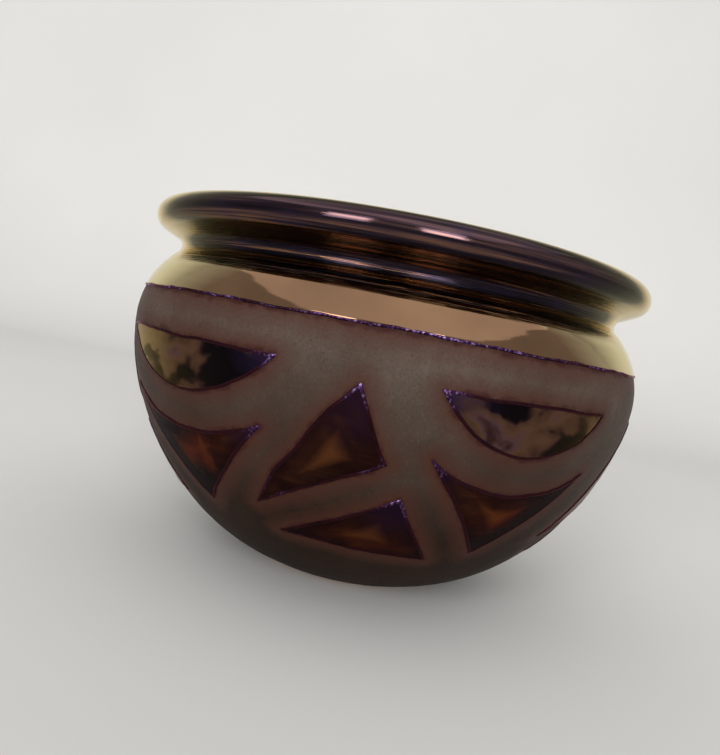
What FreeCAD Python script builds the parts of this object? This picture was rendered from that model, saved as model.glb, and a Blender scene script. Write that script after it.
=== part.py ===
import FreeCAD, Part
import math
import os
import Sketcher

# A wheel-thrown clay jar with a rolled, flared rim, a tight throat and a round belly on a small flat
# foot. Its coats of glaze are laid on the clay one beside the other: a lustre collar over the
# shoulder, neck and lip, a liner inside, a matte ground on the belly, and glossy panels in
# windows of that ground. Millimetres, +Z up, origin at the middle of the foot, +Y away from the
# viewer.

doc = FreeCAD.newDocument("jar")

# Driving dimensions. A list holds one value for each of the panels round the jar, whose spacing by
# hand is uneven by a few degrees. Azimuths are in degrees about the axis from the viewer's side.

SIZES = {
    # Clay wall
    "belly_diameter": 151.4,
    "jar_height": 97.1,
    "belly_curve": 46.5,
    "belly_sweep_angle": 12,
    "flank_sweep_angle": 33,
    "bottom_sweep_angle": 28.65,
    "foot_radius": 27.6,
    "shoulder_curve": 25.3,
    "throat_inset": 9.3,
    "throat_curve": 2.7,
    "lip_flare_angle": 25.45,
    "lip_overhang": 8.1,
    "lip_roll": 3.8,
    "wall": 5.5,
    "floor_thickness": 6.5,
    # Coats of glaze
    "lustre_thickness": 0.5,
    "matte_thickness": 0.3,
    "liner_thickness": 0.4,
    "shoulder_edge_rise": 7.6,
    "bead_radius": 0.75,
    "bare_foot_height": 1.2,
    "cutter_margin": 6,
    # Half moon panels
    "half_moon_top_share": 0.964,
    "half_moon_depth": 12.5,
    "half_moon_azimuth": [-39.5, 28.5, 101, 174, 247.5],
    "half_moon_half_width": [28.8, 22.8, 25.5, 27.5, 25],
    # Swag panels
    "swag_corner_share": 0.719,
    "swag_sag": 6.1,
    "swag_tip_share": 0.35,
    "swag_azimuth": [-40, 29.7, 101.5, 174.5, 247],
    "swag_half_width": [25.9, 22.2, 24, 25, 24],
    "swag_tip_reach": [4.2, 0.5, 2, 3, 1],
    # Upper triangle panels
    "upper_apex_share": 0.93,
    "upper_apex_reach": 7,
    "upper_corner_share": 0.678,
    "upper_corner_reach": 15.2,
    "upper_toe_share": 0.42,
    "upper_toe_reach": 14.2,
    "upper_back_bow": 1.4,
    "upper_azimuth": [-8, 64, 137, 209, 281],
    # Lower triangle panels
    "lower_toe_share": 0.316,
    "lower_toe_reach": 18,
    "lower_apex_share": 0.555,
    "lower_apex_reach": 7.8,
    "lower_heel_share": 0.304,
    "lower_heel_reach": 17.1,
    "lower_azimuth": [2, 74, 147, 218, 290],
}

sheet = doc.addObject("Spreadsheet::Sheet", "Sizes")
size = {}
for name, value in SIZES.items():
    several = isinstance(value, list)
    for number, single in enumerate(value if several else [value], 1):
        alias = f"{name}_{number}" if several else name
        size[alias] = single
        row = len(size)
        sheet.set(f"A{row}", alias)
        sheet.set(f"B{row}", str(single))
        sheet.setAlias(f"B{row}", alias)
doc.recompute()


def neck_rises():
    """Heights of the throat's and the lip's centres above the belly's widest line."""
    reach = size["shoulder_curve"] + size["throat_curve"]
    run = reach - size["throat_inset"]
    throat = math.sqrt(reach ** 2 - run ** 2)
    flare = math.radians(size["lip_flare_angle"])
    radii = size["throat_curve"] + size["lip_roll"]
    # The underside runs from the throat's arc to the roll, square to a radius of each
    across = size["lip_overhang"] - radii + radii * math.sin(flare)
    lip = throat + radii * math.cos(flare) + across * math.tan(flare)
    return throat, lip


# The belly's own sizes follow from the jar's. The wall's section works out the height again, as a
# length, and the sheet's cells are plain numbers of millimetres.

throat_rise, lip_rise = neck_rises()
size["belly_radius"] = size["belly_diameter"] / 2
size["belly_height"] = size["jar_height"] - size["lip_roll"] - lip_rise
BELLY_RADIUS = "Sizes.belly_diameter / 2"
BELLY_HEIGHT = "(wall_section.Constraints.belly_height / 1 mm)"

TURN_TO_VERTICAL = FreeCAD.Rotation(FreeCAD.Vector(1, 0, 0), 90)
AXIS = FreeCAD.Vector(0, 0, 1)
parts = {}


# Sketch helpers

START, END, CENTRE = range(1, 4)


def origin():
    """A sketch's origin is the start of its level axis, which the sketcher numbers -1."""
    return -1, START


def flat(x, y):
    return FreeCAD.Vector(x, y, 0)


def polar(centre, radius, degrees):
    angle = math.radians(degrees)
    return centre + flat(radius * math.cos(angle), radius * math.sin(angle))


def arc(centre, radius, first, last):
    circle = Part.Circle(centre, flat(0, 0) + AXIS, radius)
    return Part.ArcOfCircle(circle, math.radians(first), math.radians(last))


def bind(sketch, name, expression, *constraint):
    index = sketch.addConstraint(Sketcher.Constraint(*constraint))
    sketch.renameConstraint(index, name)
    sketch.setExpression(f"Constraints.{name}", expression)


def measure(sketch, name, *constraint):
    """A size that the sketch works out from the others."""
    index = sketch.addConstraint(Sketcher.Constraint(*constraint))
    sketch.setDriving(index, False)
    sketch.renameConstraint(index, name)


def join(sketch, kind, first, first_end, second, second_end):
    sketch.addConstraint(Sketcher.Constraint(kind, first, first_end, second, second_end))


def bind_point(sketch, name, geometry, end, across, up):
    """Holds a point at a signed place from the sketch's origin."""
    for letter, kind, (sign, expression) in (("x", "DistanceX", across), ("y", "DistanceY", up)):
        point = sketch.getPoint(geometry, end)
        value = abs(point.x if letter == "x" else point.y)
        ends = (*origin(), geometry, end) if sign > 0 else (geometry, end, *origin())
        bind(sketch, f"{name}_{letter}", expression, kind, *ends, value)


# Section of the clay wall, drawn with radius across and height up. The arcs run from the foot up
# the outside, over the rolled lip and down the inside, and the inner arcs share the outer centres.

OUTER_ARCS = ["bottom", "flank", "belly", "shoulder", "throat"]


def lower_curves(belly_end, flank_end, foot_angle):
    """Radii of the flank and bottom arcs that carry the belly down to the foot's edge."""
    cosine = [math.cos(math.radians(angle)) for angle in (0, belly_end, flank_end, foot_angle)]
    sine = [math.sin(math.radians(angle)) for angle in (0, belly_end, flank_end, foot_angle)]
    inward = [cosine[i] - cosine[i + 1] for i in range(3)]
    down = [sine[i] - sine[i + 1] for i in range(3)]
    reach = size["belly_radius"] - size["foot_radius"] - inward[0] * size["belly_curve"]
    drop = size["belly_height"] - down[0] * size["belly_curve"]
    cross = down[1] * inward[2] - down[2] * inward[1]
    flank = (drop * inward[2] - reach * down[2]) / cross
    bottom = (reach * down[1] - drop * inward[1]) / cross
    return flank, bottom


def wall_geometry():
    """The wall's curves at the driving sizes, as the sketches' starting places."""
    belly_end = -size["belly_sweep_angle"]
    flank_end = belly_end - size["flank_sweep_angle"]
    foot_angle = flank_end - size["bottom_sweep_angle"]
    radius = {name: size[name + "_curve"] for name in ("belly", "shoulder", "throat")}
    radius["flank"], radius["bottom"] = lower_curves(belly_end, flank_end, foot_angle)
    centre = {}
    widest = flat(size["belly_radius"], size["belly_height"])
    centre["shoulder"] = widest - flat(radius["shoulder"], 0)
    centre["belly"] = widest - flat(radius["belly"], 0)
    centre["flank"] = polar(centre["belly"], radius["belly"] - radius["flank"], belly_end)
    centre["bottom"] = polar(centre["flank"], radius["flank"] - radius["bottom"], flank_end)
    throat_x = size["belly_radius"] - size["throat_inset"] + radius["throat"]
    centre["throat"] = flat(throat_x, size["belly_height"] + throat_rise)
    shoulder_end = math.degrees(math.asin(throat_rise / (radius["shoulder"] + radius["throat"])))
    roll = size["lip_roll"]
    lip_x = size["belly_radius"] - size["throat_inset"] + size["lip_overhang"] - roll
    lip = flat(lip_x, size["belly_height"] + lip_rise)
    step = lip - centre["throat"]
    inner_throat = radius["throat"] + size["wall"]
    heading = math.degrees(math.atan2(step.y, step.x))
    inner_flare = heading - math.degrees(math.asin((inner_throat - roll) / step.Length))
    inner_bottom = radius["bottom"] - size["wall"]
    drop = (centre["bottom"].y - size["floor_thickness"]) / inner_bottom
    floor_angle = -math.degrees(math.asin(drop))
    spans = {
        "bottom": (foot_angle, flank_end),
        "flank": (flank_end, belly_end),
        "belly": (belly_end, 0),
        "shoulder": (0, shoulder_end),
    }
    under = size["lip_flare_angle"]
    outer = [arc(centre[name], radius[name], *spans[name]) for name in OUTER_ARCS[:4]]
    outer.append(arc(centre["throat"], radius["throat"], under + 90, shoulder_end + 180))
    ends = (polar(centre["throat"], radius["throat"], under + 90), polar(lip, roll, under - 90))
    outer.append(Part.LineSegment(*ends))
    outer.append(arc(lip, roll, under - 90, 90))
    inner = [arc(lip, roll, 90, inner_flare + 90)]
    ends = (polar(lip, roll, inner_flare + 90), polar(centre["throat"], inner_throat, inner_flare + 90))
    inner.append(Part.LineSegment(*ends))
    inner.append(arc(centre["throat"], inner_throat, inner_flare + 90, shoulder_end + 180))
    for name in reversed(OUTER_ARCS[:4]):
        first = floor_angle if name == "bottom" else spans[name][0]
        inner.append(arc(centre[name], radius[name] - size["wall"], first, spans[name][1]))
    return outer, inner


BOTTOM, FLANK, BELLY, SHOULDER, THROAT, UNDERSIDE, LIP_OUT = range(7)
LIP_IN, FLARE, IN_THROAT, IN_SHOULDER, IN_BELLY, IN_FLANK, IN_BOTTOM = range(7, 14)
FLOOR, SPINE, FOOT = range(14, 17)


def draw_wall(sketch, real):
    """Draws the wall's section. Curves that are not named as real stay construction lines."""
    outer, inner = wall_geometry()
    for curve in outer + inner:
        sketch.addGeometry(curve, False)
    floor_edge = inner[-1].StartPoint
    foot_edge = outer[0].StartPoint
    sketch.addGeometry(Part.LineSegment(floor_edge, flat(0, floor_edge.y)), False)
    sketch.addGeometry(Part.LineSegment(flat(0, floor_edge.y), flat(0, 0)), False)
    sketch.addGeometry(Part.LineSegment(flat(0, 0), foot_edge), False)
    # Smooth joints, each from one curve's end to the next one's
    join(sketch, "Tangent", BOTTOM, END, FLANK, START)
    join(sketch, "Tangent", FLANK, END, BELLY, START)
    join(sketch, "Tangent", BELLY, END, SHOULDER, START)
    join(sketch, "Tangent", SHOULDER, END, THROAT, END)
    join(sketch, "Tangent", THROAT, START, UNDERSIDE, START)
    join(sketch, "Tangent", UNDERSIDE, END, LIP_OUT, START)
    join(sketch, "Tangent", LIP_IN, END, FLARE, START)
    join(sketch, "Tangent", FLARE, END, IN_THROAT, START)
    join(sketch, "Tangent", IN_THROAT, END, IN_SHOULDER, END)
    join(sketch, "Tangent", IN_SHOULDER, START, IN_BELLY, END)
    join(sketch, "Tangent", IN_BELLY, START, IN_FLANK, END)
    join(sketch, "Tangent", IN_FLANK, START, IN_BOTTOM, END)
    # The lip's two halves are one round roll and meet right above its centre, at the crest
    join(sketch, "Coincident", LIP_OUT, END, LIP_IN, START)
    join(sketch, "Coincident", LIP_OUT, CENTRE, LIP_IN, CENTRE)
    sketch.addConstraint(Sketcher.Constraint("Vertical", LIP_OUT, CENTRE, LIP_OUT, END))
    pairs = [(THROAT, IN_THROAT), (SHOULDER, IN_SHOULDER), (BELLY, IN_BELLY), (FLANK, IN_FLANK)]
    for out, inside in pairs + [(BOTTOM, IN_BOTTOM)]:
        join(sketch, "Coincident", out, CENTRE, inside, CENTRE)
    # Closing lines at the floor, the axis and the foot
    join(sketch, "Coincident", IN_BOTTOM, START, FLOOR, START)
    join(sketch, "Coincident", FLOOR, END, SPINE, START)
    join(sketch, "Coincident", SPINE, END, *origin())
    join(sketch, "Coincident", FOOT, START, *origin())
    join(sketch, "Coincident", FOOT, END, BOTTOM, START)
    sketch.addConstraint(Sketcher.Constraint("Horizontal", FLOOR))
    sketch.addConstraint(Sketcher.Constraint("Vertical", SPINE))
    sketch.addConstraint(Sketcher.Constraint("Horizontal", FOOT))
    # Sizes
    for index, name in ((BELLY, "belly"), (SHOULDER, "shoulder"), (THROAT, "throat")):
        cell = name + "_curve"
        bind(sketch, cell, "Sizes." + cell, "Radius", index, size[cell])
    bind(sketch, "lip_roll", "Sizes.lip_roll", "Radius", LIP_OUT, size["lip_roll"])
    for index, cell in ((BELLY, "belly_sweep_angle"), (FLANK, "flank_sweep_angle"),
                        (BOTTOM, "bottom_sweep_angle"), (UNDERSIDE, "lip_flare_angle")):
        bind(sketch, cell, f"Sizes.{cell} * 1 deg", "Angle", index, math.radians(size[cell]))
    bind(sketch, "belly_radius", BELLY_RADIUS, "DistanceX", *origin(), BELLY, END, size["belly_radius"])
    bind(sketch, "jar_height", "Sizes.jar_height", "DistanceY", *origin(), LIP_OUT, END, size["jar_height"])
    sketch.addConstraint(Sketcher.Constraint("Horizontal", BELLY, CENTRE, BELLY, END))
    bind(sketch, "foot_radius", "Sizes.foot_radius", "DistanceX", *origin(), FOOT, END, size["foot_radius"])
    throat = size["belly_radius"] - size["throat_inset"]
    bind(sketch, "throat_x", BELLY_RADIUS + " - Sizes.throat_inset + Sizes.throat_curve",
         "DistanceX", *origin(), THROAT, CENTRE, throat + size["throat_curve"])
    bind(sketch, "lip_x", BELLY_RADIUS + " - Sizes.throat_inset + Sizes.lip_overhang - Sizes.lip_roll",
         "DistanceX", *origin(), LIP_OUT, CENTRE, throat + size["lip_overhang"] - size["lip_roll"])
    inner_throat = size["throat_curve"] + size["wall"]
    bind(sketch, "wall", "Sizes.throat_curve + Sizes.wall", "Radius", IN_THROAT, inner_throat)
    bind(sketch, "floor", "Sizes.floor_thickness", "DistanceY", SPINE, END, SPINE, START,
         size["floor_thickness"])
    for index in range(FOOT + 1):
        if index not in real:
            sketch.toggleConstruction(index)


def revolve(name, face):
    solid = doc.addObject("Part::Revolution", name)
    solid.Source = face
    solid.Axis = AXIS
    solid.Angle = 360
    solid.Solid = True
    return solid


def wall_sketch(name, real):
    sketch = doc.addObject("Sketcher::SketchObject", name)
    sketch.Placement = FreeCAD.Placement(FreeCAD.Vector(), TURN_TO_VERTICAL)
    draw_wall(sketch, real)
    return sketch


# Clay jar

jar = doc.addObject("PartDesign::Body", "jar_body")
section = jar.newObject("Sketcher::SketchObject", "wall_section")
plane = [item for item in jar.Origin.OriginFeatures if item.Role == "XZ_Plane"][0]
section.AttachmentSupport = [(plane, "")]
section.MapMode = "FlatFace"
draw_wall(section, range(FOOT + 1))
measure(section, "belly_height", "DistanceY", *origin(), BELLY, END, size["belly_height"])
thrown = jar.newObject("PartDesign::Revolution", "thrown_wall")
thrown.Profile = section
thrown.ReferenceAxis = (section, ["V_Axis"])
thrown.Angle = 360
parts["jar_body"] = jar


# Coats. Each starts as the clay's own line, thickened away from the clay and turned about the axis.

SHOULDER_EDGE = f"({BELLY_HEIGHT} + Sizes.shoulder_edge_rise)"


def thicken(name, line, expression):
    strip = doc.addObject("Part::Offset2D", name)
    strip.Source = line
    strip.Mode = "Skin"
    strip.Fill = True
    strip.setExpression("Value", expression)
    return strip


def boolean(kind, name, base, tool):
    result = doc.addObject("Part::" + kind, name)
    result.Base = base
    result.Tool = tool
    return result


def band(name, low, high):
    """A plain drum that holds whatever of the jar lies between two heights."""
    drum = doc.addObject("Part::Cylinder", name)
    drum.setExpression("Radius", BELLY_RADIUS + " + Sizes.lip_overhang + Sizes.cutter_margin")
    drum.setExpression("Height", f"{high} - {low}")
    drum.setExpression("Placement.Base.z", low)
    return drum


outside = wall_sketch("outside_line", range(BOTTOM, FLARE + 1))
inside = wall_sketch("inside_line", range(IN_THROAT, FLOOR + 1))
lustre_skin = revolve("lustre_skin", thicken("lustre_strip", outside, "-Sizes.lustre_thickness"))
matte_skin = revolve("matte_skin", thicken("matte_strip", outside, "-Sizes.matte_thickness"))
parts["liner_glaze"] = revolve("liner", thicken("liner_strip", inside, "-Sizes.liner_thickness"))

# Raised bead where the lustre collar ends on the shoulder. Its middle is on the clay's surface.

SHOULDER_CENTRE = BELLY_RADIUS + " - Sizes.shoulder_curve"
EDGE_RADIUS = SHOULDER_CENTRE + " + sqrt(Sizes.shoulder_curve^2 - Sizes.shoulder_edge_rise^2)"


def bead_section():
    """The bead's round outside and the clay's own arc under it."""
    curve, bead = size["shoulder_curve"], size["bead_radius"]
    centre = flat(size["belly_radius"] - curve, size["belly_height"])
    edge = math.degrees(math.asin(size["shoulder_edge_rise"] / curve))
    half_turn = math.degrees(2 * math.asin(bead / (2 * curve)))
    low, high = polar(centre, curve, edge - half_turn), polar(centre, curve, edge + half_turn)
    sketch = doc.addObject("Sketcher::SketchObject", "bead_section")
    sketch.Placement = FreeCAD.Placement(FreeCAD.Vector(), TURN_TO_VERTICAL)
    sketch.addGeometry(Part.Arc(low, polar(centre, curve + bead, edge), high), False)
    sketch.addGeometry(arc(centre, curve, edge - half_turn, edge + half_turn), False)
    join(sketch, "Coincident", 0, START, 1, START)
    join(sketch, "Coincident", 0, END, 1, END)
    bind(sketch, "bead_radius", "Sizes.bead_radius", "Radius", 0, bead)
    bind(sketch, "shoulder_curve", "Sizes.shoulder_curve", "Radius", 1, curve)
    bind_point(sketch, "shoulder", 1, CENTRE, (1, SHOULDER_CENTRE), (1, BELLY_HEIGHT))
    bind_point(sketch, "edge", 0, CENTRE, (1, EDGE_RADIUS), (1, SHOULDER_EDGE))
    return sketch


parts["shoulder_bead"] = revolve("bead", bead_section())

ring = doc.addObject("Part::Torus", "bead_ring")
ring.setExpression("Radius1", EDGE_RADIUS)
ring.setExpression("Radius2", "Sizes.bead_radius")
ring.setExpression("Placement.Base.z", SHOULDER_EDGE)

# Lustre collar over the shoulder, the neck and the lip, down to the throat inside

upper_band = band("upper_band", SHOULDER_EDGE, "(Sizes.jar_height + Sizes.cutter_margin)")
collar = boolean("Common", "lustre_above_edge", lustre_skin, upper_band)
parts["lustre_collar"] = boolean("Cut", "collar_to_bead", collar, ring)


# Glossy panels, cut out of the lustre skin by prisms that look outwards from the axis

# A corner is the side it lies to, the cell of its reach and the cell of its share of belly height.

def corner_place(corner):
    side, reach, share = corner
    return flat(side * size[reach], size["belly_height"] * size[share])


def corner_text(corner):
    side, reach, share = corner
    return f"({side} * Sizes.{reach})", f"({BELLY_HEIGHT} * Sizes.{share})"


def bow_radius(first, last, bow):
    """Radius of the arc whose middle stands off its chord by the bow, as a value and as text."""
    chord = corner_place(last) - corner_place(first)
    value = (chord.Length ** 2 / 4 + size[bow] ** 2) / (2 * size[bow])
    (across, up), (next_across, next_up) = corner_text(first), corner_text(last)
    square = f"(({next_across} - {across})^2 + ({next_up} - {up})^2)"
    return value, f"({square} / 4 + Sizes.{bow}^2) / (2 * Sizes.{bow})"


def panel_sketch(name, corners, bows):
    """An outline of straight or bowed sides. A side with a bow bulges to its own right."""
    sketch = doc.addObject("Sketcher::SketchObject", name)
    sketch.Placement = FreeCAD.Placement(FreeCAD.Vector(), TURN_TO_VERTICAL)
    count = len(corners)
    places = [corner_place(corner) for corner in corners]
    ends = []
    for index, bow in enumerate(bows):
        first, last = places[index], places[(index + 1) % count]
        if bow is None:
            sketch.addGeometry(Part.LineSegment(first, last), False)
            ends.append((START, END))
            continue
        chord = last - first
        side = flat(chord.y, -chord.x).normalize()
        middle = (first + last) / 2 + side * size[bow]
        curve = Part.Arc(first, middle, last)
        sketch.addGeometry(curve, False)
        start = sketch.getPoint(index, START)
        ends.append((START, END) if start.distanceToPoint(first) < size[bow] else (END, START))
    for index, bow in enumerate(bows):
        following = (index + 1) % count
        side, reach, share = corners[index]
        join(sketch, "Coincident", index, ends[index][1], following, ends[following][0])
        bind_point(sketch, f"corner_{index}", index, ends[index][0],
                   (side, f"Sizes.{reach}"), (1, f"{BELLY_HEIGHT} * Sizes.{share}"))
        if bow is not None:
            value, text = bow_radius(corners[index], corners[following], bow)
            bind(sketch, f"bow_{index}", text, "Radius", index, value)
    return sketch


def round_the_jar(kind):
    """Numbers of the panels of one kind, from 1."""
    return [number for number in range(1, len(size)) if f"{kind}_azimuth_{number}" in size]


def panel(kind, number, corners, bows):
    word = "_triangle" if kind in ("upper", "lower") else ""
    name = f"{kind}{word}_panel_{number}"
    prism = doc.addObject("Part::Extrusion", name + "_prism")
    prism.Base = panel_sketch(name + "_outline", corners, bows)
    prism.DirMode = "Normal"
    prism.Solid = True
    prism.setExpression("LengthFwd", BELLY_RADIUS + " + Sizes.cutter_margin")
    turn = f"rotation(vector(0; 0; 1); Sizes.{kind}_azimuth_{number} * 1 deg)"
    prism.setExpression("Placement", f"placement(vector(0; 0; 0); {turn})")
    parts[name] = boolean("Common", name + "_glaze", lustre_skin, prism)


for number in round_the_jar("half_moon"):
    reach = f"half_moon_half_width_{number}"
    corners = [(1, reach, "half_moon_top_share"), (-1, reach, "half_moon_top_share")]
    panel("half_moon", number, corners, [None, "half_moon_depth"])

for number in round_the_jar("swag"):
    reach = f"swag_half_width_{number}"
    corners = [(-1, reach, "swag_corner_share"), (1, reach, "swag_corner_share"),
               (1, f"swag_tip_reach_{number}", "swag_tip_share")]
    panel("swag", number, corners, ["swag_sag", None, None])

for number in round_the_jar("upper"):
    corners = [(1, "upper_apex_reach", "upper_apex_share"), (-1, "upper_toe_reach", "upper_toe_share"),
               (1, "upper_corner_reach", "upper_corner_share")]
    panel("upper", number, corners, ["upper_back_bow", None, None])

for number in round_the_jar("lower"):
    corners = [(-1, "lower_toe_reach", "lower_toe_share"), (1, "lower_apex_reach", "lower_apex_share"),
               (1, "lower_heel_reach", "lower_heel_share")]
    panel("lower", number, corners, [None, None, None])

# Matte ground from the wiped foot to the bead, with a window for each panel

lower_band = band("lower_band", "Sizes.bare_foot_height", SHOULDER_EDGE)
ground = boolean("Common", "matte_below_edge", matte_skin, lower_band)
ground = boolean("Cut", "ground_to_bead", ground, ring)
panels = doc.addObject("Part::Compound", "all_panels")
panels.Links = [piece for name, piece in parts.items() if "_panel_" in name]
parts["matte_ground"] = boolean("Cut", "ground_with_windows", ground, panels)

doc.recompute()

# Checks and files

for item in doc.Objects:
    if {"Invalid", "Error"} & set(item.State):
        raise RuntimeError(f"{item.Name} did not build: {item.State}")
    if item.TypeId == "Sketcher::SketchObject" and not item.FullyConstrained:
        raise RuntimeError(f"{item.Name} has a loose size")

os.makedirs("parts", exist_ok=True)
for name, piece in parts.items():
    piece.Label = name
    shape = piece.Shape
    if shape.isNull() or not shape.isValid() or not shape.Solids:
        raise RuntimeError(f"{name} is not a sound solid")
    print(name, len(shape.Solids), "solids", round(shape.Volume, 1), "mm3")
    shape.exportStep(f"parts/{name}.step")
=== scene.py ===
import math
import bpy
import numpy as np
from mathutils import Matrix, Vector, noise
from mathutils.kdtree import KDTree

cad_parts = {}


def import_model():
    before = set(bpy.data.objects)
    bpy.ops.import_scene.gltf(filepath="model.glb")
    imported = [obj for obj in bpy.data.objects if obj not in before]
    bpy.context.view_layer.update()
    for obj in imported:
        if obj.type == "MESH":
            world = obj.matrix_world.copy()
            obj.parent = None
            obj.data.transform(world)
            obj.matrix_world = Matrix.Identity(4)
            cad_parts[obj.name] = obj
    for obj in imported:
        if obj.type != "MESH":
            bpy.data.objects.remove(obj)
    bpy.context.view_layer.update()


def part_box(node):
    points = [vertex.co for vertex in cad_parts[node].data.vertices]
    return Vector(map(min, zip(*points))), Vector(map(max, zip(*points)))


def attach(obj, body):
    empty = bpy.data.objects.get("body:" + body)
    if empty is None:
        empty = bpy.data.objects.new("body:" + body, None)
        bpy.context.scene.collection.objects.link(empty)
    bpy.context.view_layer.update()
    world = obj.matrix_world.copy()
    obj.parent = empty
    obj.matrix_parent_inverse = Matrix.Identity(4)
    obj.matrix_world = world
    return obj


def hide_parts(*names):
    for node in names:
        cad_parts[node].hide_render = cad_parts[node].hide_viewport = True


# A hand-thrown jar with a lustre collar, a matte painted belly and glossy panels edged with rolled
# glaze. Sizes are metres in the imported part's frame, except where a comment says millimetres.

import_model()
MM = 0.001

# Section of the clay wall. The overall sizes come from the frame.

BELLY_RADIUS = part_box("jar_body")[1].x
CREST_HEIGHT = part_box("jar_body")[1].z
SHOULDER_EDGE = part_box("lustre_collar")[0].z
FOOT_RADIUS = 27.6 * MM
BELLY_CURVE = 46.5 * MM
SHOULDER_CURVE = 25.3 * MM
THROAT_CURVE = 2.7 * MM
THROAT_INSET = 9.3 * MM
LIP_ROLL = 3.8 * MM
LIP_OVERHANG = 8.1 * MM
LIP_FLARE = math.radians(25.45)
BELLY_SWEEP = math.radians(12)
FLANK_SWEEP = math.radians(33)
BOTTOM_SWEEP = math.radians(28.65)
WALL = 5.5 * MM
FLOOR_THICKNESS = 6.5 * MM

# Levels above the clay's own surface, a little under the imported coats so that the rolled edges
# of the glaze stay inside them, then how deep the coats are and how high the foot stays bare

GROUND_LEVEL = -0.05 * MM
PANEL_LEVEL = 0.14 * MM
COLLAR_LEVEL = 0.2 * MM
LINER_LEVEL = 0.3 * MM
COAT_DEPTH = 0.7 * MM
BARE_FOOT = 1.2 * MM

# Panels round the belly: azimuth in degrees from the viewer's side, then the half width in
# millimetres and, for a swag, how far across its lowest tip lies. The triangles of a row are all
# drawn alike. The painter's spacing is uneven.

HALF_MOONS = [(-39.5, 28.8), (28.5, 22.8), (101, 25.5), (174, 27.5), (247.5, 25)]
SWAGS = [(-40, 25.9, 4.2), (29.7, 22.2, 0.5), (101.5, 24, 2), (174.5, 25, 3), (247, 24, 1)]
UPPER_TRIANGLES = [-8, 64, 137, 209, 281]
LOWER_TRIANGLES = [2, 74, 147, 218, 290]


# The wall's line

LINE_STEP = 0.25 * MM
HEIGHT_MARGIN = 2 * MM


def polar(centre, radius, angle):
    return centre + radius * np.array([math.cos(angle), math.sin(angle)])


def arc_points(centre, radius, first, last, step):
    count = max(3, int(abs(last - first) * abs(radius) / step) + 2)
    angles = np.linspace(first, last, count)
    normals = np.stack([np.cos(angles), np.sin(angles)], 1)
    return centre + radius * normals, normals


def line_points(start, end, normal, step):
    count = max(3, int(np.linalg.norm(end - start) / step) + 2)
    share = np.linspace(0, 1, count)[:, None]
    return start + share * (end - start), np.repeat(normal[None], count, 0)


class Line:
    """A line in the section plane by its length, with the direction away from the clay."""

    def __init__(self, runs):
        points = np.concatenate([points[min(i, 1):] for i, (points, _) in enumerate(runs)])
        normals = np.concatenate([normals[min(i, 1):] for i, (_, normals) in enumerate(runs)])
        self.points, self.normals = points, normals
        steps = np.linalg.norm(np.diff(points, axis=0), axis=1)
        self.length = np.concatenate([[0], np.cumsum(steps)])

    def at(self, length):
        """Radius, height and direction away from the clay at a length along the line."""
        pick = [np.interp(length, self.length, column) for column in (*self.points.T, *self.normals.T)]
        size = np.hypot(pick[2], pick[3])
        return pick[0], pick[1], pick[2] / size, pick[3] / size

    def length_at_height(self, height):
        """Length along the line where it first rises to a height."""
        reached = self.length[np.argmax(self.points[:, 1] >= height)]
        rising = self.length <= reached + HEIGHT_MARGIN
        return float(np.interp(height, self.points[rising, 1], self.length[rising]))


def lower_curves():
    """Radii of the flank and bottom arcs that carry the belly down to the foot's edge."""
    angles = np.cumsum([0, -BELLY_SWEEP, -FLANK_SWEEP, -BOTTOM_SWEEP])
    inward, down = -np.diff(np.cos(angles)), -np.diff(np.sin(angles))
    reach = BELLY_RADIUS - FOOT_RADIUS - inward[0] * BELLY_CURVE
    drop = belly_height() - down[0] * BELLY_CURVE
    return np.linalg.solve([[inward[1], inward[2]], [down[1], down[2]]], [reach, drop])


def neck_rises():
    """Heights of the throat's and the lip's centres above the belly's widest line."""
    reach = SHOULDER_CURVE + THROAT_CURVE
    throat = math.sqrt(reach ** 2 - (reach - THROAT_INSET) ** 2)
    radii = THROAT_CURVE + LIP_ROLL
    across = LIP_OVERHANG - radii + radii * math.sin(LIP_FLARE)
    return throat, throat + radii * math.cos(LIP_FLARE) + across * math.tan(LIP_FLARE)


def belly_height():
    return CREST_HEIGHT - LIP_ROLL - neck_rises()[1]


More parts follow.
